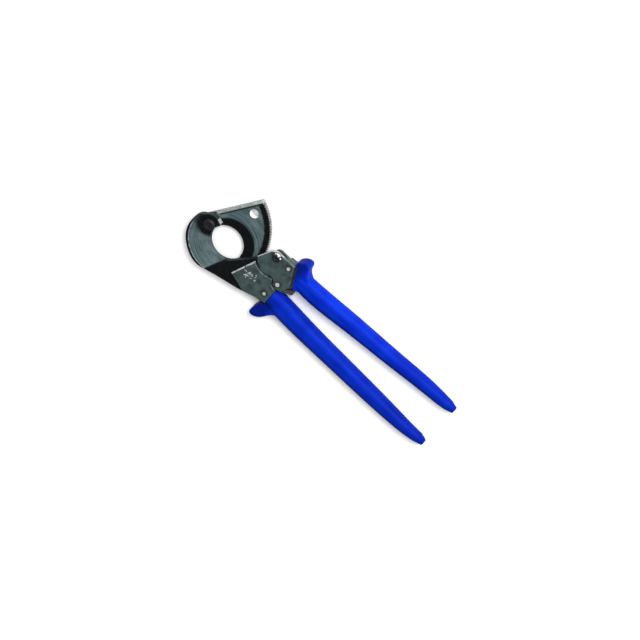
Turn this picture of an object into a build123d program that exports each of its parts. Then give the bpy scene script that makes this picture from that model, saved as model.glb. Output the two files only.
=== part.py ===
from build123d import *
import math
import os

os.makedirs("parts", exist_ok=True)

# ------------------------------------------------------------------
# Ratchet cable cutter, lying on its back. Millimetres, +Z up.
# X runs from the cutting head towards the handle ends, Y towards the
# moving handle. All plan dimensions are taken from the handle pivot.
# ------------------------------------------------------------------
HX, HY = -77.253, 22.025          # handle pivot in the part frame
ORG = Plane(origin=(HX, HY, 0), x_dir=(1, 0, 0), z_dir=(0, 0, 1))

# layers, bottom to top
BACK0, BACK1 = 0.0, 3.0       # back frame plate
MID0, MID1 = 3.3, 9.8         # moving blade, pawls, lever
FIX0, FIX1 = 10.1, 16.6       # fixed blade
COV1 = 19.1                   # top of the side cover
MPL0, MPL1 = 16.9, 19.4       # moving side plate

# blade pivot and ratchet
CX, CY = -77.5, -28.5         # blade pivot
TOOTH_R = 67.3                # tooth tip radius about the blade pivot
TOOTH_DEPTH = 1.3
TOOTH_N = 38
TOOTH_A0 = -33.0              # lowest tooth, degrees about the blade pivot
TOOTH_A1 = 66.0               # highest tooth
HOLE_R = 20.9                 # cutting edge radius
HOLE_D = 27.5                 # cutting edge centre to blade pivot
FIX_A, MOV_A = -2.5, -20.0    # where the two edge centres lie about the pivot

FHX = CX + HOLE_D * math.cos(math.radians(FIX_A))
FHY = CY + HOLE_D * math.sin(math.radians(FIX_A))
MHX = CX + HOLE_D * math.cos(math.radians(MOV_A))
MHY = CY + HOLE_D * math.sin(math.radians(MOV_A))

FIT = 0.06                    # radial running clearance
BP_R = 4.5                    # blade pivot shank
HP_R = 3.2                    # handle pivot shank
PX, PY = 19.7, -24.6          # drive pawl pin, on the moving handle
QX, QY = 15.5, -44.2          # holding pawl pin, on the frame
PIN_R = 2.5
RMX, RMY = 17.3, -0.6         # rivet of the moving side plate
RIV_R = 1.8                   # plain frame rivets
TIP_R = TOOTH_R + 0.5         # where the pawl noses stop


def polar(r, a, x0=0.0, y0=0.0):
    return (x0 + r * math.cos(math.radians(a)), y0 + r * math.sin(math.radians(a)))


# ------------------------------------------------------------------
# shapes of the ground bevels
# ------------------------------------------------------------------
GRIND_R = 41.0
with BuildPart() as fixed_grind:
    with BuildSketch(ORG.offset(FIX0 + 1.0)):
        with Locations((FHX, FHY)):
            Circle(HOLE_R)
    with BuildSketch(ORG.offset(FIX1 + 0.02)):
        with Locations((-51.2, -32.9)):
            Circle(GRIND_R)
    loft(ruled=True)
    with BuildSketch(ORG.offset(FIX0)):
        with Locations((CX, CY)):
            Circle(12.6)
    extrude(amount=10, mode=Mode.SUBTRACT)
    with BuildSketch(ORG.offset(FIX0)):
        with BuildLine():
            Polyline((-34.0, -38.0), (-40.5, -50.0), (-50.5, -72.0), (-50.0, -100.0), (30.0, -100.0),
                     (30.0, 40.0), (-60.0, 40.0), (-70.0, -10.0), (-60.0, -12.0), (-34.0, -12.0),
                     (-34.0, -38.0))
        make_face()
    extrude(amount=10, mode=Mode.SUBTRACT)

RING_Z = MID1 - 2.7
with BuildPart() as moving_grind:
    with BuildSketch(ORG.offset(RING_Z)):
        with Locations((MHX, MHY)):
            Circle(HOLE_R)
    with BuildSketch(ORG.offset(MID1 + 0.02)):
        with Locations((-48.6, -32.6)):
            Circle(28.0)
    loft(ruled=True)
with BuildPart() as moving_grind_back:
    with BuildSketch(ORG.offset(MID0 - 0.02)):
        with Locations((MHX + 2.0, MHY + 2.6)):
            Circle(26.0)
    with BuildSketch(ORG.offset(MID0 + 2.9)):
        with Locations((MHX, MHY)):
            Circle(HOLE_R)
    loft(ruled=True)

# ------------------------------------------------------------------
# fixed blade: hook, neck and pivot ear in one forging
# ------------------------------------------------------------------
EAR_R = 5.6                   # pivot ear of the fixed blade
EAR_T = 4.0                   # its thickness, the underside is milled away
with BuildPart() as fixed_blade:
    with BuildSketch(ORG.offset(FIX0)):
        with BuildLine():
            tip = polar(12.0, 62, CX, CY)
            side = polar(12.0, 150, CX, CY)
            ThreePointArc(tip, polar(12.0, 106, CX, CY), side)
            Spline(side, (-93.4, -28.0), (-95.2, -36.0), (-94.8, -45.0), (-92.1, -53.9), (-87.3, -61.4),
                   (-78.6, -69.4), (-70.7, -74.0), (-63.5, -76.0), (-55.0, -75.6))
            Line((-55.0, -75.6), (-37.3, -70.6))
            Line((-37.3, -70.6), (-9.9, -64.3))
            Line((-9.9, -64.3), (14.0, -56.6))
            Line((14.0, -56.6), (29.5, -56.6))
            Line((29.5, -56.6), (29.5, -41.0))
            Line((29.5, -41.0), (22.4, -38.8))
            Line((22.4, -38.8), (22.2, -33.8))
            Line((22.2, -33.8), (16.2, -32.0))
            Line((16.2, -32.0), (11.6, -27.4))
            Line((11.6, -27.4), (5.6, -22.0))
            Line((5.6, -22.0), (EAR_R, 0))
            ThreePointArc((EAR_R, 0), (0, EAR_R), (-EAR_R, 0))
            Line((-EAR_R, 0), (-13.0, -16.5))
            Line((-13.0, -16.5), (-19.5, -25.0))
            edge_end = polar(HOLE_R, -30, FHX, FHY)
            Line((-19.5, -25.0), edge_end)
            edge_start = polar(HOLE_R, 150, FHX, FHY)
            ThreePointArc(edge_end, polar(HOLE_R, -120, FHX, FHY), edge_start)
            Line(edge_start, tip)
        make_face()
    extrude(amount=FIX1 - FIX0)
    add(fixed_grind.part, mode=Mode.SUBTRACT)
    with BuildSketch(ORG.offset(FIX0)):
        with Locations((CX, CY)):
            Circle(BP_R)
        with Locations((0, 0)):
            Circle(HP_R)
        with Locations((QX, QY)):
            Circle(PIN_R)
        with Locations((25.0, -52.0), (27.0, -46.2)):
            Circle(RIV_R)
    extrude(amount=FIX1 - FIX0, mode=Mode.SUBTRACT)
    with BuildSketch(ORG.offset(FIX0)):
        Circle(7.4)
    extrude(amount=FIX1 - FIX0 - EAR_T, mode=Mode.SUBTRACT)
fixed_blade.part.label = "fixed_blade"

# ------------------------------------------------------------------
# moving blade: sector with a toothed rim, swinging behind the fixed one
# ------------------------------------------------------------------
BOSS_R = 10.0
HEEL_A = 67.6
NOSE_A = -34.0
HEEL_HX, HEEL_HY, HEEL_HR = -49.1, 15.2, 5.2
BACK_T = HEEL_A - math.degrees(math.asin(BOSS_R / TOOTH_R)) + 90.0
heel = polar(TOOTH_R - 0.4, HEEL_A, CX, CY)
back = polar(BOSS_R, BACK_T, CX, CY)
EDL = math.hypot(heel[0] - back[0], heel[1] - back[1])
EDX, EDY = (heel[0] - back[0]) / EDL, (heel[1] - back[1]) / EDL
pitch = (TOOTH_A1 - TOOTH_A0) / TOOTH_N
teeth = []
for k in range(TOOTH_N):
    a0 = TOOTH_A0 + k * pitch
    teeth.append(polar(TOOTH_R - TOOTH_DEPTH, a0, CX, CY))
    teeth.append(polar(TOOTH_R, a0 + pitch * 0.86, CX, CY))
    teeth.append(polar(TOOTH_R, a0 + pitch * 0.985, CX, CY))
with BuildPart() as moving_blade:
    with BuildSketch(ORG.offset(MID0)):
        with BuildLine():
            nose = polar(TOOTH_R - TOOTH_DEPTH, NOSE_A, CX, CY)
            Polyline(nose, *teeth, heel)
            Line(heel, back)
            low = polar(BOSS_R, -75, CX, CY)
            ThreePointArc(back, polar(BOSS_R, 195, CX, CY), low)
            Line(low, (MHX, MHY))
            Line((MHX, MHY), (-41.0, -54.0))
            Line((-41.0, -54.0), nose)
        make_face()
    extrude(amount=MID1 - MID0)
    with BuildSketch(Plane(origin=(HX + back[0], HY + back[1], MID1), x_dir=(-EDY, EDX, 0), z_dir=(EDX, EDY, 0))):
        with BuildLine():
            Polyline((-2.3, 0.1), (0.6, -2.8), (0.6, 0.1), (-2.3, 0.1))
        make_face()
    extrude(amount=EDL + 4.0, mode=Mode.SUBTRACT)
    add(moving_grind.part, mode=Mode.SUBTRACT)
    add(moving_grind_back.part, mode=Mode.SUBTRACT)
    with BuildSketch(ORG.offset(MID0)):
        with Locations((CX, CY)):
            Circle(BOSS_R - 0.02)
    extrude(amount=MID1 - MID0)
    with BuildSketch(ORG.offset(MID0)):
        with Locations((MHX, MHY)):
            Circle(HOLE_R)
        with Locations((CX, CY)):
            Circle(5.6)
        with Locations((HEEL_HX, HEEL_HY)):
            Circle(HEEL_HR)
    extrude(amount=MID1 - MID0, mode=Mode.SUBTRACT)
    with BuildSketch(ORG.offset(MID1 - 0.9)):
        with BuildLine():
            CenterArc((CX, CY), 60.2, -40, 104)
            CenterArc((CX, CY), 70.0, -40, 104)
            Line(polar(60.2, -40, CX, CY), polar(70.0, -40, CX, CY))
            Line(polar(60.2, 64, CX, CY), polar(70.0, 64, CX, CY))
        make_face()
    extrude(amount=1.2, mode=Mode.SUBTRACT)
moving_blade.part.label = "moving_blade"

with BuildPart() as blade_bush:
    with BuildSketch(ORG.offset(MID0 - 0.1)):
        with Locations((CX, CY)):
            Circle(5.6)
            Circle(BP_R + FIT, mode=Mode.SUBTRACT)
    extrude(amount=MID1 - MID0 + 0.2)
blade_bush.part.label = "blade_bush"

# ------------------------------------------------------------------
# blade pivot bolt, washer and nut
# ------------------------------------------------------------------
with BuildPart() as blade_pivot_bolt:
    with BuildSketch(ORG.offset(0.0)):
        with Locations((CX, CY)):
            Circle(BP_R)
    extrude(amount=FIX1)
    with BuildSketch(ORG.offset(FIX1)):
        with Locations((CX, CY)):
            Circle(6.4)
    extrude(amount=2.8)
    chamfer(blade_pivot_bolt.edges().filter_by(GeomType.CIRCLE).group_by(Axis.Z)[-1], 1.1)
    with BuildSketch(ORG.offset(FIX1 + 2.8 - 1.5)):
        with Locations((CX, CY)):
            RegularPolygon(2.9, 6)
    extrude(amount=3.0, mode=Mode.SUBTRACT)
blade_pivot_bolt.part.label = "blade_pivot_bolt"

with BuildPart() as blade_pivot_washer:
    with BuildSketch(ORG.offset(2.1)):
        with Locations((CX, CY)):
            Circle(8.6)
            Circle(BP_R, mode=Mode.SUBTRACT)
    extrude(amount=0.9)
blade_pivot_washer.part.label = "blade_pivot_washer"

with BuildPart() as blade_pivot_nut:
    with BuildSketch(ORG.offset(0.0)):
        with Locations((CX, CY)):
            RegularPolygon(8.2, 6)
            Circle(BP_R, mode=Mode.SUBTRACT)
    extrude(amount=2.1)
    chamfer(blade_pivot_nut.edges().filter_by(GeomType.LINE).group_by(Axis.Z)[0], 0.35)
blade_pivot_nut.part.label = "blade_pivot_nut"

# ------------------------------------------------------------------
# frame: back plate, side cover, tang with the fixed handle
# ------------------------------------------------------------------
with BuildPart() as back_plate:
    with BuildSketch(ORG.offset(BACK0)):
        with BuildLine():
            Line((-33.0, -69.0), (-9.9, -63.6))
            Line((-9.9, -63.6), (14.0, -56.0))
            Line((14.0, -56.0), (29.5, -56.0))
            Line((29.5, -56.0), (29.5, -41.0))
            Line((29.5, -41.0), (22.4, -38.8))
            Line((22.4, -38.8), (22.2, -33.8))
            Line((22.2, -33.8), (10.0, -32.0))
            Line((10.0, -32.0), (-12.0, -35.0))
            Line((-12.0, -35.0), (-26.0, -45.0))
            Line((-26.0, -45.0), (-33.0, -69.0))
        make_face()
        with Locations((QX, QY)):
            Circle(PIN_R, mode=Mode.SUBTRACT)
        with Locations((25.0, -52.0), (27.0, -46.2)):
            Circle(RIV_R, mode=Mode.SUBTRACT)
    extrude(amount=BACK1 - BACK0)
back_plate.part.label = "back_plate"

COV_R = 27.6
with BuildPart() as side_cover:
    with BuildSketch(ORG.offset(FIX1)):
        with BuildLine():
            c0 = polar(COV_R, -123, 0, 0)
            c1 = polar(COV_R, -65.5, 0, 0)
            Line((-25.8, -53.4), c0)
            ThreePointArc(c0, polar(COV_R, -94, 0, 0), c1)
            Line(c1, (15.0, -31.6))
            Line((15.0, -31.6), (22.2, -33.8))
            Line((22.2, -33.8), (22.2, -53.6))
            Line((22.2, -53.6), (14.4, -55.4))
            Line((14.4, -55.4), (-5.0, -60.4))
            Line((-5.0, -60.4), (-25.8, -53.4))
        make_face()
        with Locations((QX, QY)):
            Circle(PIN_R, mode=Mode.SUBTRACT)
    extrude(amount=COV1 - FIX1)
    chamfer(side_cover.faces().sort_by(Axis.Z)[-1].outer_wire().edges(), 0.5)
side_cover.part.label = "side_cover"

with BuildPart() as cover_badge:
    with BuildSketch(ORG.offset(COV1)):
        with Locations(Location((-8.8, -40.0, 0), (0, 0, 22))):
            RectangleRounded(17.5, 11.0, 2.0)
    extrude(amount=0.35)
cover_badge.part.label = "cover_badge"

with BuildPart() as fixed_tang:
    with BuildSketch(ORG.offset(BACK1)):
        with BuildLine():
            Polyline((23.6, -46.6), (28.8, -39.6), (33.0, -39.2), (60.0, -42.8), (110.0, -45.8), (196.0, -50.4),
                     (196.0, -58.6), (110.0, -57.6), (60.0, -56.4), (29.5, -55.4), (21.0, -55.4), (21.0, -51.5),
                     (23.6, -46.6))
        make_face()
        with Locations((25.0, -52.0), (27.0, -46.2)):
            Circle(RIV_R, mode=Mode.SUBTRACT)
    extrude(amount=FIX0 - BACK1)
fixed_tang.part.label = "fixed_tang"

with BuildPart() as frame_rivets:
    with BuildSketch(ORG.offset(0.0)):
        with Locations((25.0, -52.0), (27.0, -46.2)):
            Circle(RIV_R)
    extrude(amount=FIX1)
frame_rivets.part.label = "frame_rivets"

# ------------------------------------------------------------------
# handle pivot bolt, washer and nut
# ------------------------------------------------------------------
NUT0 = 7.3                    # underside of the nut
with BuildPart() as handle_pivot_bolt:
    with BuildSketch(ORG.offset(NUT0)):
        Circle(HP_R)
    extrude(amount=MPL1 + 0.8 - NUT0)
    with BuildSketch(ORG.offset(MPL1 + 0.8)):
        Circle(5.2)
    extrude(amount=2.2)
    chamfer(handle_pivot_bolt.edges().filter_by(GeomType.CIRCLE).group_by(Axis.Z)[-1], 0.8)
    with BuildSketch(ORG.offset(MPL1 + 1.8)):
        RegularPolygon(2.3, 6)
    extrude(amount=3.0, mode=Mode.SUBTRACT)
handle_pivot_bolt.part.label = "handle_pivot_bolt"

with BuildPart() as handle_pivot_washer:
    with BuildSketch(ORG.offset(MPL1 + 0.1)):
        Circle(5.7)
        Circle(HP_R, mode=Mode.SUBTRACT)
    extrude(amount=0.7)
handle_pivot_washer.part.label = "handle_pivot_washer"

with BuildPart() as handle_pivot_nut:
    with BuildSketch(ORG.offset(NUT0)):
        RegularPolygon(5.2, 6)
        Circle(HP_R, mode=Mode.SUBTRACT)
    extrude(amount=2.2)
    chamfer(handle_pivot_nut.edges().filter_by(GeomType.LINE).group_by(Axis.Z)[0], 0.35)
handle_pivot_nut.part.label = "handle_pivot_nut"

# ------------------------------------------------------------------
# moving handle: side plate, spacer and lower plate straddle the ear
# of the fixed blade, the lever carries the tang
# ------------------------------------------------------------------
with BuildPart() as moving_side_plate:
    with BuildSketch(ORG.offset(MPL0)):
        with BuildLine():
            Polyline((-16.6, -15.6), (-8.8, 1.8), (-3.2, 5.6), (20.6, 5.2), (31.2, -18.6), (27.0, -29.6), (20.4, -31.4),
                     (15.4, -29.0))
            ThreePointArc((15.4, -29.0), polar(25.6, -66, 0, 0), polar(25.6, -78, 0, 0))
            ThreePointArc(polar(25.6, -78, 0, 0), polar(25.6, -100, 0, 0), polar(24.6, -118, 0, 0))
            Line(polar(24.6, -118, 0, 0), (-16.6, -15.6))
        make_face()
    extrude(amount=MPL1 - MPL0)
    with BuildSketch(ORG.offset(MPL0)):
        Circle(HP_R + FIT)
        with Locations((RMX, RMY), (PX, PY)):
            Circle(PIN_R)
    extrude(amount=MPL1 - MPL0, mode=Mode.SUBTRACT)
    chamfer(moving_side_plate.faces().sort_by(Axis.Z)[-1].outer_wire().edges(), 0.45)
moving_side_plate.part.label = "moving_side_plate"

LPL1 = MID1 + 2.5             # top of the lower plate
with BuildPart() as moving_spacer:
    with BuildSketch(ORG.offset(LPL1)):
        with BuildLine():
            Polyline((9.6, 4.8), (30.0, 4.8), (36.0, 2.0), (36.0, -16.5), (31.0, -17.5), (24.8, -22.2), (24.8, -26.6),
                     (20.6, -29.6), (15.8, -28.0), (14.4, -23.6), (11.4, -12.0), (9.0, -4.4), (9.6, 4.8))
        make_face()
        with Locations((RMX, RMY), (PX, PY)):
            Circle(PIN_R, mode=Mode.SUBTRACT)
    extrude(amount=MPL0 - LPL1)
moving_spacer.part.label = "moving_spacer"

with BuildPart() as moving_lower_plate:
    with BuildSketch(ORG.offset(MID1)):
        Circle(EAR_R - 0.1)
        with BuildLine():
            Polyline((0.6, 5.4), (14.0, 4.8), (30.0, 4.8), (36.0, 2.0), (36.0, -16.5), (31.0, -17.5), (24.8, -22.2),
                     (24.8, -26.6), (20.6, -29.6), (15.8, -28.0), (14.4, -23.6), (11.0, -12.0), (6.8, -4.0), (4.0, -3.4),
                     (0.6, 5.4))
        make_face()
        Circle(4.2, mode=Mode.SUBTRACT)
        with Locations((RMX, RMY), (PX, PY)):
            Circle(PIN_R, mode=Mode.SUBTRACT)
    extrude(amount=LPL1 - MID1)
moving_lower_plate.part.label = "moving_lower_plate"

with BuildPart() as moving_lever:
    with BuildSketch(ORG.offset(MID0)):
        with BuildLine():
            Polyline((12.0, 3.0), (11.0, -4.0), (12.4, -12.6), (28.0, -15.6), (60.0, -14.2), (110.0, -10.6),
                     (196.0, -3.8), (196.0, 4.6), (110.0, 1.2), (60.0, -1.2), (30.0, 0.6), (20.0, 3.4), (12.0, 3.0))
        make_face()
        with Locations((RMX, RMY)):
            Circle(PIN_R, mode=Mode.SUBTRACT)
    extrude(amount=MID1 - MID0)
moving_lever.part.label = "moving_lever"

with BuildPart() as handle_bush:
    with BuildSketch(ORG.offset(MID1 - 0.1)):
        Circle(4.2)
        Circle(HP_R + FIT, mode=Mode.SUBTRACT)
    extrude(amount=LPL1 - MID1 + 0.2)
handle_bush.part.label = "handle_bush"

with BuildPart() as side_plate_rivet:
    with BuildSketch(ORG.offset(MID0)):
        with Locations((RMX, RMY)):
            Circle(PIN_R)
    extrude(amount=MPL1 - MID0)
    with BuildSketch(ORG.offset(MPL1)):
        with Locations((RMX, RMY)):
            Circle(3.4)
    extrude(amount=1.5)
    fillet(side_plate_rivet.edges().filter_by(GeomType.CIRCLE).group_by(Axis.Z)[-1], 1.1)
side_plate_rivet.part.label = "side_plate_rivet"

# ------------------------------------------------------------------
# drive pawl on the moving handle
# ------------------------------------------------------------------
DTX, DTY = polar(TIP_R, -18.0, CX, CY)
HTX, HTY = polar(TIP_R, -30.0, CX, CY)
with BuildPart() as drive_pawl_pin:
    with BuildSketch(ORG.offset(MID0)):
        with Locations((PX, PY)):
            Circle(PIN_R)
    extrude(amount=MPL1 - MID0)
    with BuildSketch(ORG.offset(MPL1)):
        with Locations((PX, PY)):
            Circle(3.3)
    extrude(amount=1.5)
    fillet(drive_pawl_pin.edges().filter_by(GeomType.CIRCLE).group_by(Axis.Z)[-1], 1.1)
drive_pawl_pin.part.label = "drive_pawl_pin"

with BuildPart() as drive_pawl:
    with BuildSketch(ORG.offset(MID0)):
        with BuildLine():
            Polyline((DTX, DTY), (DTX + 3.6, DTY - 3.4), (2.5, -42.3), (17.0, -30.2), (24.6, -27.8), (25.6, -22.4),
                     (19.6, -18.6), (13.6, -20.6), (-2.0, -32.0), (DTX + 2.6, DTY + 4.2), (DTX, DTY))
        make_face()
        with Locations((PX, PY)):
            Circle(PIN_R + FIT, mode=Mode.SUBTRACT)
    extrude(amount=MID1 - MID0 - 0.3)
    with BuildSketch(ORG.offset(MID0 + 3.9)):
        with Locations((PX, PY)):
            Circle(6.4)
    extrude(amount=3.0, mode=Mode.SUBTRACT)
drive_pawl.part.label = "drive_pawl"

with BuildPart() as holding_pawl_pin:
    with BuildSketch(ORG.offset(0.0)):
        with Locations((QX, QY)):
            Circle(PIN_R)
    extrude(amount=COV1)
    with BuildSketch(ORG.offset(COV1)):
        with Locations((QX, QY)):
            Circle(3.1)
    extrude(amount=1.4)
    fillet(holding_pawl_pin.edges().filter_by(GeomType.CIRCLE).group_by(Axis.Z)[-1], 1.0)
holding_pawl_pin.part.label = "holding_pawl_pin"

with BuildPart() as holding_pawl:
    with BuildSketch(ORG.offset(MID0)):
        with BuildLine():
            Polyline((HTX, HTY), (HTX + 3.8, HTY - 2.6), (-6.0, -58.4), (12.0, -50.2), (18.6, -49.6), (20.6, -44.4),
                     (25.6, -37.6), (36.4, -29.2), (34.0, -26.0), (21.6, -34.8), (15.0, -38.8), (9.6, -41.4),
                     (-4.0, -50.4), (HTX + 3.2, HTY + 3.6), (HTX, HTY))
        make_face()
        with Locations((QX, QY)):
            Circle(PIN_R + FIT, mode=Mode.SUBTRACT)
    extrude(amount=MID1 - MID0 - 0.3)
    with BuildSketch(ORG.offset(MID0 + 3.9)):
        with Locations((QX, QY)):
            Circle(6.4)
    extrude(amount=3.0, mode=Mode.SUBTRACT)
holding_pawl.part.label = "holding_pawl"

with BuildPart() as release_tab:
    with BuildSketch(ORG.offset(MID0 - 1.2)):
        with Locations(Location((35.8, -27.2, 0), (0, 0, 37))):
            RectangleRounded(4.8, 5.8, 1.6)
    extrude(amount=8.6)
    fillet(release_tab.edges().group_by(Axis.Z)[-1], 0.8)
    add(holding_pawl.part, mode=Mode.SUBTRACT)
release_tab.part.label = "release_tab"

# ------------------------------------------------------------------
# pawl springs: two-turn torsion coils on the pins
# ------------------------------------------------------------------
WIRE_R = 0.4
COIL_R = 4.2
with BuildPart() as drive_pawl_spring:
    with BuildLine(Plane(origin=(HX + PX, HY + PY, MID0 + 4.5), x_dir=(1, 0, 0), z_dir=(0, 0, 1))):
        Helix(pitch=0.9, height=1.45, radius=COIL_R)
    with BuildSketch(Plane(origin=(HX + PX + COIL_R, HY + PY, MID0 + 4.5), x_dir=(1, 0, 0), z_dir=(0, 1, 0))):
        Circle(WIRE_R)
    sweep()
drive_pawl_spring.part.label = "drive_pawl_spring"
with BuildPart() as holding_pawl_spring:
    with BuildLine(Plane(origin=(HX + QX, HY + QY, MID0 + 4.5), x_dir=(1, 0, 0), z_dir=(0, 0, 1))):
        Helix(pitch=0.9, height=1.45, radius=COIL_R)
    with BuildSketch(Plane(origin=(HX + QX + COIL_R, HY + QY, MID0 + 4.5), x_dir=(1, 0, 0), z_dir=(0, 1, 0))):
        Circle(WIRE_R)
    sweep()
holding_pawl_spring.part.label = "holding_pawl_spring"

# ------------------------------------------------------------------
# grips: oval sleeves with a flared finger guard
# ------------------------------------------------------------------
GRIP_Z = 9.6                  # height of the centre line of both grips
# station x, centre y, width, thickness
GRIP_F = [(22.8, -46.6, 23.0, 18.6), (53.5, -48.9, 24.6, 19.0), (85.6, -50.9, 22.9, 19.0), (117.7, -52.1, 21.5, 18.4),
          (150.0, -53.2, 20.4, 18.0), (182.0, -54.2, 18.8, 17.4), (214.0, -55.0, 15.9, 15.8), (241.0, -54.0, 11.8, 11.8)]
GRIP_M = [(34.0, -7.4, 20.4, 16.6), (60.0, -7.7, 22.6, 19.0), (85.6, -6.3, 21.9, 19.0), (117.7, -4.1, 20.3, 18.2),
          (150.0, -2.5, 18.7, 17.6), (182.0, -0.5, 17.2, 16.8), (214.0, 1.2, 15.4, 15.4), (241.0, 1.8, 11.9, 11.9)]
GUARD_R = 1.8                 # rounding of the guard edges

with BuildPart() as fixed_guard:
    with BuildSketch(ORG.offset(0.8)):
        with BuildLine():
            Polyline((44.0, -50.0), (22.9, -50.0), (22.9, -57.0), (20.4, -57.2))
            Spline((20.4, -57.2), (18.4, -61.2), (16.4, -66.8), (15.2, -72.4), (15.8, -76.2), (19.2, -77.4),
                   (24.6, -75.8), (29.4, -71.6), (32.8, -66.2), (35.8, -61.8), (40.0, -58.2), (44.0, -55.4))
            Line((44.0, -55.4), (44.0, -50.0))
        make_face()
    extrude(amount=16.6)
    fillet(fixed_guard.edges().filter_by(GeomType.BSPLINE), GUARD_R)

with BuildPart() as fixed_grip:
    for gx, gy, gw, gt in GRIP_F:
        with BuildSketch(Plane(origin=(HX + gx, HY + gy, GRIP_Z), x_dir=(0, 1, 0), z_dir=(1, 0, 0))):
            RectangleRounded(gw, gt, min(gw, gt) * 0.42)
    loft()
    with BuildSketch(Plane(origin=(HX + GRIP_F[-1][0], HY + GRIP_F[-1][1], GRIP_Z), x_dir=(0, 1, 0), z_dir=(1, 0, 0))):
        RectangleRounded(GRIP_F[-1][2], GRIP_F[-1][3], GRIP_F[-1][2] * 0.42)
    extrude(amount=8.8, taper=16)
    fillet(fixed_grip.faces().sort_by(Axis.X)[-1].edges(), 2.0)
    add(fixed_guard.part)
    # slot for the tail of the holding pawl
    with BuildSketch(ORG.offset(BACK1)):
        with BuildLine():
            Polyline((22.0, -50.4), (24.2, -46.2), (29.2, -39.4), (34.0, -38.6), (34.0, -30.0), (22.0, -30.0),
                     (22.0, -50.4))
        make_face()
    extrude(amount=FIX0 - BACK1, mode=Mode.SUBTRACT)
    add(fixed_tang.part, mode=Mode.SUBTRACT)
    add(fixed_blade.part, mode=Mode.SUBTRACT)
    add(back_plate.part, mode=Mode.SUBTRACT)
    add(frame_rivets.part, mode=Mode.SUBTRACT)
fixed_grip.part.label = "fixed_grip"

with BuildPart() as moving_guard:
    with BuildSketch(ORG.offset(0.8)):
        with BuildLine():
            Spline((20.4, 6.4), (20.4, 8.6), (21.8, 11.4), (24.4, 14.2), (28.4, 16.4), (32.0, 16.6), (34.4, 14.0),
                   (35.2, 10.0), (37.4, 6.0), (41.6, 2.4), (47.0, -0.8), (52.0, -4.0))
            Polyline((52.0, -4.0), (52.0, -10.0), (38.0, -17.4), (34.2, -17.0), (24.0, 5.4), (20.4, 6.4))
        make_face()
    extrude(amount=16.8)
    fillet(moving_guard.edges().filter_by(GeomType.BSPLINE), GUARD_R)

with BuildPart() as moving_grip:
    for gx, gy, gw, gt in GRIP_M:
        with BuildSketch(Plane(origin=(HX + gx, HY + gy, GRIP_Z), x_dir=(0, 1, 0), z_dir=(1, 0, 0))):
            RectangleRounded(gw, gt, min(gw, gt) * 0.42)
    loft()
    with BuildSketch(Plane(origin=(HX + GRIP_M[-1][0], HY + GRIP_M[-1][1], GRIP_Z), x_dir=(0, 1, 0), z_dir=(1, 0, 0))):
        RectangleRounded(GRIP_M[-1][2], GRIP_M[-1][3], GRIP_M[-1][2] * 0.42)
    extrude(amount=8.8, taper=16)
    fillet(moving_grip.faces().sort_by(Axis.X)[-1].edges(), 2.0)
    add(moving_guard.part)
    add(moving_lever.part, mode=Mode.SUBTRACT)
    add(moving_lower_plate.part, mode=Mode.SUBTRACT)
    add(moving_spacer.part, mode=Mode.SUBTRACT)
moving_grip.part.label = "moving_grip"

for p in (fixed_blade, moving_blade, blade_bush, blade_pivot_bolt, blade_pivot_washer, blade_pivot_nut, back_plate,
          side_cover, cover_badge, fixed_tang, frame_rivets, handle_pivot_bolt, handle_pivot_washer,
          handle_pivot_nut, moving_side_plate, moving_spacer, moving_lower_plate, moving_lever, handle_bush, side_plate_rivet, drive_pawl_pin, drive_pawl,
          holding_pawl_pin, holding_pawl, release_tab, drive_pawl_spring, holding_pawl_spring, fixed_grip, moving_grip):
    export_step(p.part, "parts/%s.step" % p.part.label)
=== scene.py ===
import bpy, math
from mathutils import Matrix, Vector

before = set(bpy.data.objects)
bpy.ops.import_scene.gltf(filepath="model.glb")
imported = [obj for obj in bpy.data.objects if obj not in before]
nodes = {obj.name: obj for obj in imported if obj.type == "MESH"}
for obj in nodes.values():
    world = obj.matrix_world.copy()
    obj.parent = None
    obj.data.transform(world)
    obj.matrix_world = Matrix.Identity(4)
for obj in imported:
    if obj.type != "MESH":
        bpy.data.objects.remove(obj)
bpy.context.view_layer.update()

# handle pivot in the part frame, and the tool points used by the masks (metres)
HX, HY = -0.077253, 0.022025


def tp(x, y):
    return (HX + x / 1000.0, HY + y / 1000.0)


PIVOT = tp(-77.5, -28.5)
MOUTH = tp(-50.0, -29.7)
MOUTH_M = tp(-51.7, -37.9)
GRIND_C = tp(-51.2, -32.9)
HEEL = tp(-51.99, 33.4)
BACK = tp(-86.1, -23.4)


# ---------------------------------------------------------------- node helper
class S:
    """A float socket with arithmetic."""
    def __init__(self, t, sock):
        self.t, self.s = t, sock

    def _op(self, op, *o, clamp=False):
        n = self.t.nodes.new("ShaderNodeMath")
        n.operation = op
        n.use_clamp = clamp
        self.t.links.new(self.s, n.inputs[0])
        for i, x in enumerate(o):
            if isinstance(x, S):
                self.t.links.new(x.s, n.inputs[i + 1])
            else:
                n.inputs[i + 1].default_value = x
        return S(self.t, n.outputs[0])

    def __add__(self, o): return self._op("ADD", o)
    def __sub__(self, o): return self._op("SUBTRACT", o)
    def __mul__(self, o): return self._op("MULTIPLY", o)
    def __truediv__(self, o): return self._op("DIVIDE", o)
    def max(self, o): return self._op("MAXIMUM", o)
    def min(self, o): return self._op("MINIMUM", o)
    def sqrt(self): return self._op("SQRT")
    def inv(self): return self._op("MULTIPLY_ADD", -1.0, 1.0)

    def step(self, a, b, lo=0.0, hi=1.0):
        n = self.t.nodes.new("ShaderNodeMapRange")
        n.interpolation_type = "SMOOTHSTEP"
        self.t.links.new(self.s, n.inputs[0])
        n.inputs[1].default_value = a
        n.inputs[2].default_value = b
        n.inputs[3].default_value = lo
        n.inputs[4].default_value = hi
        return S(self.t, n.outputs[0])


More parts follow.
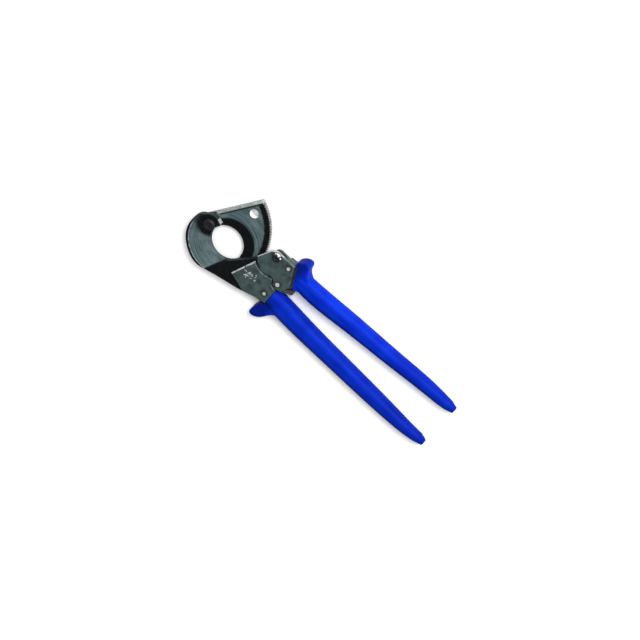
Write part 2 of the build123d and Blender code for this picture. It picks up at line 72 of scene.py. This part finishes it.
class Mat:
    def __init__(self, name):
        self.m = bpy.data.materials.new(name)
        self.m.use_nodes = True
        self.t = self.m.node_tree
        self.b = self.t.nodes["Principled BSDF"]
        tc = self.t.nodes.new("ShaderNodeTexCoord")
        self.obj = tc.outputs["Object"]
        sp = self.t.nodes.new("ShaderNodeSeparateXYZ")
        self.t.links.new(self.obj, sp.inputs[0])
        self.x, self.y, self.z = (S(self.t, sp.outputs[i]) for i in range(3))
        g = self.t.nodes.new("ShaderNodeNewGeometry")
        vt = self.t.nodes.new("ShaderNodeVectorTransform")
        vt.vector_type = "NORMAL"
        vt.convert_from = "WORLD"
        vt.convert_to = "OBJECT"
        self.t.links.new(g.outputs["True Normal"], vt.inputs[0])
        sn = self.t.nodes.new("ShaderNodeSeparateXYZ")
        self.t.links.new(vt.outputs[0], sn.inputs[0])
        self.nx, self.ny, self.nz = (S(self.t, sn.outputs[i]) for i in range(3))

    def vec(self, x, y, z):
        n = self.t.nodes.new("ShaderNodeCombineXYZ")
        for i, v in enumerate((x, y, z)):
            if isinstance(v, S):
                self.t.links.new(v.s, n.inputs[i])
            else:
                n.inputs[i].default_value = v
        return n.outputs[0]

    def noise(self, scale, detail=3.0, rough=0.55, vec=None, dist=0.0):
        n = self.t.nodes.new("ShaderNodeTexNoise")
        self.t.links.new(vec if vec is not None else self.obj, n.inputs["Vector"])
        n.inputs["Scale"].default_value = scale
        n.inputs["Detail"].default_value = detail
        n.inputs["Roughness"].default_value = rough
        n.inputs["Distortion"].default_value = dist
        return S(self.t, n.outputs[0])

    def voronoi(self, scale):
        n = self.t.nodes.new("ShaderNodeTexVoronoi")
        self.t.links.new(self.obj, n.inputs["Vector"])
        n.inputs["Scale"].default_value = scale
        return S(self.t, n.outputs[0])

    def dist(self, c):
        a = self.x - c[0]
        b = self.y - c[1]
        return (a * a + b * b).sqrt()

    def edge(self, radius):
        n = self.t.nodes.new("ShaderNodeBevel")
        n.samples = 4
        n.inputs["Radius"].default_value = radius
        g = self.t.nodes.new("ShaderNodeNewGeometry")
        d = self.t.nodes.new("ShaderNodeVectorMath")
        d.operation = "DOT_PRODUCT"
        self.t.links.new(n.outputs[0], d.inputs[0])
        self.t.links.new(g.outputs["True Normal"], d.inputs[1])
        return S(self.t, d.outputs["Value"]).step(0.995, 0.86)

    def mix(self, f, a, b):
        n = self.t.nodes.new("ShaderNodeMix")
        n.data_type = "RGBA"
        if isinstance(f, S):
            self.t.links.new(f.s, n.inputs[0])
        else:
            n.inputs[0].default_value = f
        for i, v in ((6, a), (7, b)):
            if isinstance(v, tuple):
                n.inputs[i].default_value = (*v, 1.0)
            else:
                self.t.links.new(v, n.inputs[i])
        return n.outputs[2]

    def set(self, name, v):
        i = self.b.inputs[name]
        if isinstance(v, S):
            self.t.links.new(v.s, i)
        elif isinstance(v, (int, float)):
            i.default_value = v
        elif isinstance(v, tuple):
            i.default_value = (*v, 1.0) if len(v) == 3 else v
        else:
            self.t.links.new(v, i)

    def bump(self, h, strength, distance):
        n = self.t.nodes.new("ShaderNodeBump")
        n.inputs["Strength"].default_value = strength
        n.inputs["Distance"].default_value = distance
        self.t.links.new(h.s, n.inputs["Height"])
        self.t.links.new(n.outputs[0], self.b.inputs["Normal"])


BLACK = (0.002, 0.0025, 0.003)
COAT = (0.007, 0.009, 0.010)
GUN_D = (0.016, 0.026, 0.027)
GUN_L = (0.050, 0.078, 0.078)
TEAL_D = (0.027, 0.050, 0.055)
TEAL_L = (0.104, 0.155, 0.164)
LIGHT = (0.42, 0.46, 0.45)


def seg(m, p, q, inner, outer):
    """1 along the segment p-q (tool millimetres), fading out between the two distances."""
    a, b = tp(*p), tp(*q)
    ex, ey = b[0] - a[0], b[1] - a[1]
    n = math.hypot(ex, ey)
    ex, ey = ex / n, ey / n
    across = ((m.x - a[0]) * ey - (m.y - a[1]) * ex)
    along = ((m.x - a[0]) * ex + (m.y - a[1]) * ey)
    return (across * across).sqrt().step(outer, inner) * along.step(-outer, 0.0) * along.step(n + outer, n)


def rings(m, c, fine, wide):
    d = m.dist(c)
    a = m.noise(1.0, 2.0, 0.6, m.vec(d * fine, m.x * 14.0, m.y * 14.0))
    b = m.noise(1.0, 3.0, 0.6, m.vec(d * wide, m.x * 20.0, m.y * 20.0))
    return d, (a * 0.45 + b * 0.55).step(0.3, 0.7)


# fixed blade: dark coated flats and rim, ground bevel round the mouth
def fixed_blade_mat():
    m = Mat("fixed_blade_steel")
    d, streak = rings(m, GRIND_C, 2600.0, 650.0)
    flat = m.nz.step(0.982, 0.995)
    wall = m.nz.step(0.75, 0.6)
    # the outer flat is ground too, up to a thin coated rim
    a, b = tp(-40.5, -50.0), tp(-50.5, -72.0)
    ex, ey = (b[0] - a[0]), (b[1] - a[1])
    n = math.hypot(ex, ey)
    hook = ((m.x - a[0]) * (-ey / n) + (m.y - a[1]) * (ex / n)).step(0.0004, -0.0004)
    rim_c = tp(-54.5, -35.2)
    dr = m.dist(rim_c) + m.noise(120.0, 2.0) * 0.0010
    tipd = m.dist(PIVOT)
    face = hook * dr.step(0.0400, 0.0394) * tipd.step(0.0128, 0.0142)
    ground = ((flat.max(wall)).inv()).max(flat * face)
    rim_highlight = dr.step(0.0383, 0.0388) * dr.step(0.0400, 0.0394) * hook
    blotch = m.noise(90.0, 3.0)
    teal = m.mix(streak, TEAL_D, TEAL_L)
    teal = m.mix((blotch.step(0.35, 0.7)) * 0.35, teal, (0.20, 0.27, 0.28))
    # darker towards the hook tip
    teal = m.mix((tipd + blotch * 0.004).step(0.0215, 0.0150) * 0.95, teal, COAT)
    # painted highlight: a broken light line just inside the coated rim of the fixed blade
    teal = m.mix(rim_highlight * m.noise(200.0).step(0.3, 0.55) * tipd.step(0.016, 0.024) * 0.8, teal, LIGHT)
    coat = m.mix(m.noise(500.0, 4.0).step(0.35, 0.75), BLACK, (0.006, 0.008, 0.0085))
    col = m.mix(ground, coat, teal)
    col = m.mix(m.edge(0.0004) * m.noise(240.0).step(0.45, 0.62) * 0.35, col, (0.25, 0.28, 0.28))
    # painted highlight on the end wall of the hook next to the mouth, where it faces the light
    post = wall * m.dist(tp(-69.6, -18.6)).step(0.0052, 0.0040) * m.ny.step(0.1, 0.4)
    col = m.mix(post * 0.9, col, (0.34, 0.38, 0.37))
    lit = wall * m.ny.step(0.35, 0.8) * post.inv()
    col = m.mix(lit * 0.35, col, (0.05, 0.065, 0.065))
    m.set("Base Color", col)
    m.set("Metallic", ground * 0.60 + 0.03)
    m.set("Roughness", streak * 0.14 + ground * -0.10 + 0.46)
    m.set("Specular IOR Level", ground * 0.20 + 0.05)
    m.bump(streak * ground + m.noise(1800.0, 3.0) * 0.5, 0.25, 0.0003)
    return m.m


# moving blade: ground face with rings, bevel ring painted black as shade, black toothed band
def moving_blade_mat():
    m = Mat("moving_blade_steel")
    d, streak = rings(m, MOUTH_M, 2600.0, 520.0)
    flat = m.nz.step(0.985, 0.996)
    wall = m.nz.step(0.45, 0.25)
    bevel = (flat.max(wall)).inv()
    rp = m.dist(PIVOT)
    band = rp.step(0.0594, 0.0604)
    ex, ey = HEEL[0] - BACK[0], HEEL[1] - BACK[1]
    el = math.hypot(ex, ey)
    off = ((m.x - BACK[0]) * (ey / el) - (m.y - BACK[1]) * (ex / el))   # distance inside the top edge
    top = off.step(0.0030, 0.0022)
    line = off.step(0.0024, 0.0029) * off.step(0.0048, 0.0040)
    teal = m.mix(streak, TEAL_D, TEAL_L)
    teal = m.mix(m.noise(70.0, 3.0).step(0.4, 0.72) * 0.35, teal, (0.21, 0.28, 0.29))
    black = m.mix(m.noise(420.0, 4.0).step(0.35, 0.75), BLACK, (0.006, 0.008, 0.0085))
    # painted shade: the bevel and a band round the mouth are painted black where they turn from the light
    col = m.mix(bevel, teal, black)
    dm = m.dist(tp(-48.6, -32.6))
    col = m.mix(dm.step(0.0295, 0.0283) * 0.9, col, black)
    col = m.mix(band, col, black)
    col = m.mix(line * (rp.step(0.012, 0.016)) * 0.85, col, black)
    # painted highlight: a light grey band along the top edge, where the lit top wall shows
    tip = m.mix(m.noise(300.0, 3.0).step(0.3, 0.7), (0.13, 0.155, 0.15), (0.27, 0.30, 0.295))
    col = m.mix(top * rp.step(0.0115, 0.0145), col, tip)
    # painted highlight: the outer toothed wall of the rim is painted light grey
    outer = wall * rp.step(0.0640, 0.0655)
    col = m.mix(outer * 0.85, col, m.mix(m.noise(300.0).step(0.3, 0.7), (0.20, 0.20, 0.20), (0.36, 0.35, 0.355)))
    # painted shade: the inner wall round the mouth is painted black
    inner = wall * rp.step(0.0640, 0.0630)
    col = m.mix(inner * dm.step(0.0300, 0.0290) * 0.85, col, BLACK)
    col = m.mix(m.edge(0.00035) * m.noise(260.0).step(0.42, 0.6) * 0.5, col, LIGHT)
    # painted light: the wall of the heel hole is painted near white
    hole = wall * m.dist(tp(-49.1, 15.2)).step(0.0060, 0.0055)
    col = m.mix(hole, col, (0.86, 0.87, 0.87))
    m.set("Base Color", col)
    m.set("Metallic", bevel.inv() * band.inv() * hole.inv() * 0.42 + 0.03)
    m.set("Specular IOR Level", bevel.inv() * band.inv() * 0.20 + 0.05)
    m.set("Roughness", streak * 0.15 + 0.36)
    m.bump(streak + m.noise(1600.0, 3.0) * 0.5, 0.25, 0.0003)
    return m.m


def plate_mat(name, dark=GUN_D, light=GUN_L, edge=0.75, rough=0.42, highlight_lines=(), lit_k=0.3, glint=None):
    m = Mat(name)
    grain = m.noise(1.0, 4.0, 0.6, m.vec(m.x * 260.0, m.y * 1500.0, m.z * 1500.0))
    cloud = m.noise(110.0, 4.0, 0.6)
    speck = m.noise(2600.0, 2.0, 0.6)
    mixv = (grain * 0.4 + cloud * 0.6).step(0.34, 0.66)
    col = m.mix(mixv, dark, light)
    col = m.mix(speck.step(0.62, 0.75) * 0.35, col, (0.12, 0.16, 0.16))
    wall = m.nz.step(0.6, 0.4)
    lit = wall * m.ny.step(0.2, 0.75)
    col = m.mix(lit * lit_k, col, (0.12, 0.165, 0.155))
    # edge wear, with a painted highlight along the plate edges
    edge_wear_and_highlight = m.edge(0.0005) * m.noise(160.0, 3.0).step(0.38, 0.6)
    col = m.mix(edge_wear_and_highlight * edge, col, LIGHT)
    # painted highlight: light lines along lit edges and a glint crescent on the bolt head, broken up by noise
    chipped_highlight = m.noise(330.0, 3.0).step(0.36, 0.5)
    for p, q, wd, k in highlight_lines:
        col = m.mix(seg(m, p, q, wd * 0.6, wd) * chipped_highlight * k, col, (0.50, 0.54, 0.53))
    if glint:
        g = m.dist(glint)
        crescent = g.step(0.0026, 0.0032) * (m.x * 0.10 + m.y - (glint[0] * 0.10 + glint[1])).step(0.0020, 0.0032)
        col = m.mix(crescent * chipped_highlight, col, (0.85, 0.86, 0.86))
    m.set("Base Color", col)
    m.set("Metallic", edge_wear_and_highlight * 0.4 + 0.25)
    m.set("Specular IOR Level", 0.3)
    m.set("Roughness", mixv * 0.16 + (rough - 0.08))
    m.bump(grain * 0.5 + speck * 0.5, 0.22, 0.00025)
    return m.m


def metal_mat(name, dark, light, centre=None, rough=0.3, ring=None):
    m = Mat(name)
    if centre is None:
        g = m.noise(1.0, 3.0, 0.6, m.vec(m.x * 900.0, m.y * 900.0, m.z * 200.0))
        col = m.mix(g.step(0.3, 0.7), dark, light)
    else:
        d = m.dist(centre)
        g = m.noise(1.0, 2.0, 0.6, m.vec(d * 5000.0, 0.3, 0.7))
        col = m.mix(g.step(0.3, 0.7), dark, light)
        if ring:
            col = m.mix(d.step(ring - 0.0003, ring + 0.0003), col, GUN_D)
    spots = m.noise(800.0, 3.0).step(0.6, 0.72)
    col = m.mix(spots * 0.4, col, dark)
    m.set("Base Color", col)
    m.set("Metallic", 0.85)
    m.set("Roughness", g * 0.2 + (rough - 0.05))
    m.bump(g, 0.2, 0.0002)
    return m.m


def grip_mat(name, k, guard_y):
    m = Mat(name)
    cloud = m.noise(45.0, 4.0, 0.55)
    pebble = m.voronoi(1500.0)
    fine = m.noise(2400.0, 3.0, 0.6)
    drag = m.noise(1.0, 3.0, 0.6, m.vec(m.x * 30.0, m.y * 420.0, m.z * 420.0))
    col = m.mix(cloud.step(0.3, 0.7), (0.0006, 0.0130 * k, 0.33 * k), (0.0010, 0.0230 * k, 0.43 * k))
    col = m.mix(drag.step(0.45, 0.75) * 0.35, col, (0.002, 0.038 * k, 0.52 * k))
    col = m.mix(fine.step(0.6, 0.8) * 0.25, col, (0.001, 0.008, 0.20))
    # painted shade: the side turned from the light is painted darker
    shaded_side = m.ny.step(0.30, -0.80)
    col = m.mix(shaded_side * 0.85, col, (0.0006, 0.0035, 0.075))
    # painted shade on the finger guard; the grip also goes darker towards the handle end
    guard_shade = m.x.step(HX + 0.0365, HX + 0.0270) * m.y.step(HY + guard_y[0], HY + guard_y[1])
    col = m.mix(guard_shade * (m.noise(150.0, 3.0).step(0.25, 0.75) * 0.25 + 0.60), col, (0.0008, 0.0042, 0.075))
    col = m.mix(m.x.step(HX + 0.120, HX + 0.235) * 0.42, col, (0.0007, 0.0070, 0.17))
    rub = m.edge(0.0009)
    col = m.mix(rub * 0.12, col, (0.003, 0.045, 0.55))
    m.set("Base Color", col)
    m.set("Roughness", fine * 0.14 + cloud * 0.1 + 0.36)
    m.set("Specular IOR Level", 0.03)
    m.bump(pebble * 0.6 + fine * 0.4, 0.18, 0.0003)
    return m.m


def badge_mat():
    m = Mat("badge_field")
    c = tp(-8.8, -40.0)
    a = math.radians(22)
    px = (m.x - c[0]) * math.cos(a) + (m.y - c[1]) * math.sin(a)
    py = (m.y - c[1]) * math.cos(a) - (m.x - c[0]) * math.sin(a)
    blot = m.noise(1.0, 2.0, 0.5, m.vec(px * 330.0, py * 420.0, 3.1), 0.6).step(0.50, 0.60)
    ins = (px * px).sqrt().step(0.0082, 0.0068) * (py * py).sqrt().step(0.0050, 0.0038)
    col = m.mix(m.noise(700.0, 3.0).step(0.3, 0.7), GUN_D, GUN_L)
    col = m.mix(blot * ins * 0.85, col, (0.45, 0.50, 0.50))
    col = m.mix(m.edge(0.0003) * 0.35, col, LIGHT)
    m.set("Base Color", col)
    m.set("Metallic", 0.4)
    m.set("Roughness", blot * -0.1 + 0.42)
    m.bump(blot * ins, 0.5, 0.0003)
    return m.m


def tab_mat():
    m = Mat("olive_tab")
    n = m.noise(300.0, 4.0)
    col = m.mix(n.step(0.3, 0.7), (0.012, 0.012, 0.006), (0.055, 0.050, 0.018))
    col = m.mix(m.edge(0.0006) * 0.6, col, (0.30, 0.26, 0.10))
    m.set("Base Color", col)
    m.set("Roughness", n * 0.2 + 0.35)
    m.bump(m.noise(1500.0, 3.0), 0.2, 0.0003)
    return m.m


plate = plate_mat("gunmetal_plate")
cover = plate_mat("cover_plate", highlight_lines=[((-25.4, -53.0), (-14.8, -23.6), 0.0012, 0.8)])
side = plate_mat("side_plate", highlight_lines=[((-16.4, -15.2), (-8.8, 1.6), 0.0009, 0.7), ((-8.8, 1.6), (-3.2, 5.3), 0.0009, 0.7),
                                      ((-3.2, 5.3), (6.0, 5.3), 0.0009, 0.4)])
inner = plate_mat("inner_plate", BLACK, GUN_D, 0.2, 0.5, lit_k=0.25)
bolt = plate_mat("blackened_bolt", BLACK, (0.010, 0.013, 0.014), 0.25, 0.34, glint=(HX, HY))
tip_bolt = plate_mat("blackened_tip_bolt", BLACK, (0.008, 0.010, 0.011), 0.12, 0.5, lit_k=0.1)
steel = metal_mat("bright_steel", (0.32, 0.33, 0.33), (0.62, 0.63, 0.62))
spring = metal_mat("spring_wire", (0.20, 0.20, 0.20), (0.50, 0.50, 0.50))
bronze = metal_mat("bronze_bush", (0.28, 0.17, 0.07), (0.52, 0.34, 0.15))
pins = {
    "side_plate_rivet": metal_mat("rivet_head", (0.55, 0.56, 0.56), (0.9, 0.9, 0.9), tp(17.3, -0.6), 0.28, 0.0021),
    "drive_pawl_pin": metal_mat("drive_pin_head", (0.55, 0.56, 0.56), (0.9, 0.9, 0.9), tp(19.7, -24.6), 0.28, 0.0024),
    "holding_pawl_pin": metal_mat("holding_pin_head", (0.55, 0.56, 0.56), (0.9, 0.9, 0.9), tp(15.5, -44.2), 0.28, 0.0019),
}
table = {
    "fixed_blade": fixed_blade_mat(), "moving_blade": moving_blade_mat(),
    "side_cover": cover, "moving_side_plate": side, "back_plate": plate,
    "fixed_tang": inner, "moving_lever": inner, "moving_spacer": inner, "moving_lower_plate": plate,
    "blade_pivot_bolt": tip_bolt, "blade_pivot_nut": bolt, "handle_pivot_bolt": bolt, "handle_pivot_nut": bolt,
    "blade_pivot_washer": steel, "handle_pivot_washer": inner, "frame_rivets": steel,
    "drive_pawl": metal_mat("pawl_steel", (0.05, 0.055, 0.055), (0.16, 0.17, 0.17), None, 0.4),
    "drive_pawl_spring": spring, "holding_pawl_spring": spring,
    "blade_bush": bronze, "handle_bush": bronze, "cover_badge": badge_mat(), "release_tab": tab_mat(),
}
table["holding_pawl"] = table["drive_pawl"]
# painted shade: the fixed grip's blues are scaled down (k 0.86) to look darker than the moving grip
table["fixed_grip"] = grip_mat("blue_grip_fixed", 0.86, (-0.044, -0.052))
table["moving_grip"] = grip_mat("blue_grip_moving", 1.0, (-0.014, -0.004))
table.update(pins)
for n, o in nodes.items():
    o.data.materials.clear()
    o.data.materials.append(table[n])

# ---------------------------------------------------------------- floor and light
bpy.ops.mesh.primitive_plane_add(size=8, location=(0, 0, 0))
floor = bpy.context.object
floor.name = "floor"
fm = Mat("pale_floor")
fn = fm.noise(12.0, 3.0)
fm.set("Base Color", fm.mix(fn.step(0.3, 0.7), (0.93, 0.93, 0.93), (0.96, 0.96, 0.96)))
fm.set("Roughness", fn * 0.1 + 0.8)
fm.set("Specular IOR Level", 0.1)
floor.data.materials.append(fm.m)

w = bpy.data.worlds.new("studio")
bpy.context.scene.world = w
w.use_nodes = True
wt = w.node_tree
bg = wt.nodes["Background"]
tc = wt.nodes.new("ShaderNodeTexCoord")
sp = wt.nodes.new("ShaderNodeSeparateXYZ")
wt.links.new(tc.outputs["Generated"], sp.inputs[0])
mr = wt.nodes.new("ShaderNodeMapRange")
mr.inputs[1].default_value = -0.8
mr.inputs[2].default_value = 0.8
mr.inputs[3].default_value = 0.30
mr.inputs[4].default_value = 1.30
wt.links.new(sp.outputs[1], mr.inputs[0])
wt.links.new(mr.outputs[0], bg.inputs[1])
bg.inputs[0].default_value = (1, 1, 1, 1)

sun = bpy.data.lights.new("key", "SUN")
sun.energy = 3.2
sun.angle = math.radians(24)
so = bpy.data.objects.new("key", sun)
bpy.context.collection.objects.link(so)
so.rotation_euler = (-Vector((0.10, 0.72, 0.69))).to_track_quat("-Z", "Y").to_euler()

# ---------------------------------------------------------------- camera
# the tool lies diagonally in the picture, seen from above its moving-handle side
A = math.radians(42.35)
K, T = 0.85, 0.527
u = (math.cos(A), math.sin(A))
v = (math.sin(A), -math.cos(A))
right = Vector((u[0], K * v[0], -T * v[0])).normalized()
up = Vector((-u[1], -K * v[1], T * v[1]))
up = (up - right * up.dot(right)).normalized()
back = right.cross(up)
MM = 1.07                                   # millimetres per unit of the picture grid
dx, dy = 320 - 280.51, 320 - 254.29
X = MM * (dx * u[0] + dy * u[1])
Y = MM * (dx * v[0] + dy * v[1]) / K
target = Vector((HX + X / 1000, HY + Y / 1000, 0.00995))
cam_d = bpy.data.cameras.new("cam")
cam = bpy.data.objects.new("cam", cam_d)
bpy.context.collection.objects.link(cam)
dist = 4.0
cam_d.sensor_width = 36
cam_d.lens = 36 * dist / (640 * MM / 1000)
cam_d.clip_end = 50
cam.matrix_world = Matrix.Translation(target + back * dist) @ Matrix((right, up, back)).transposed().to_4x4()
bpy.context.scene.camera = cam
bpy.context.scene.view_settings.view_transform = "Standard"
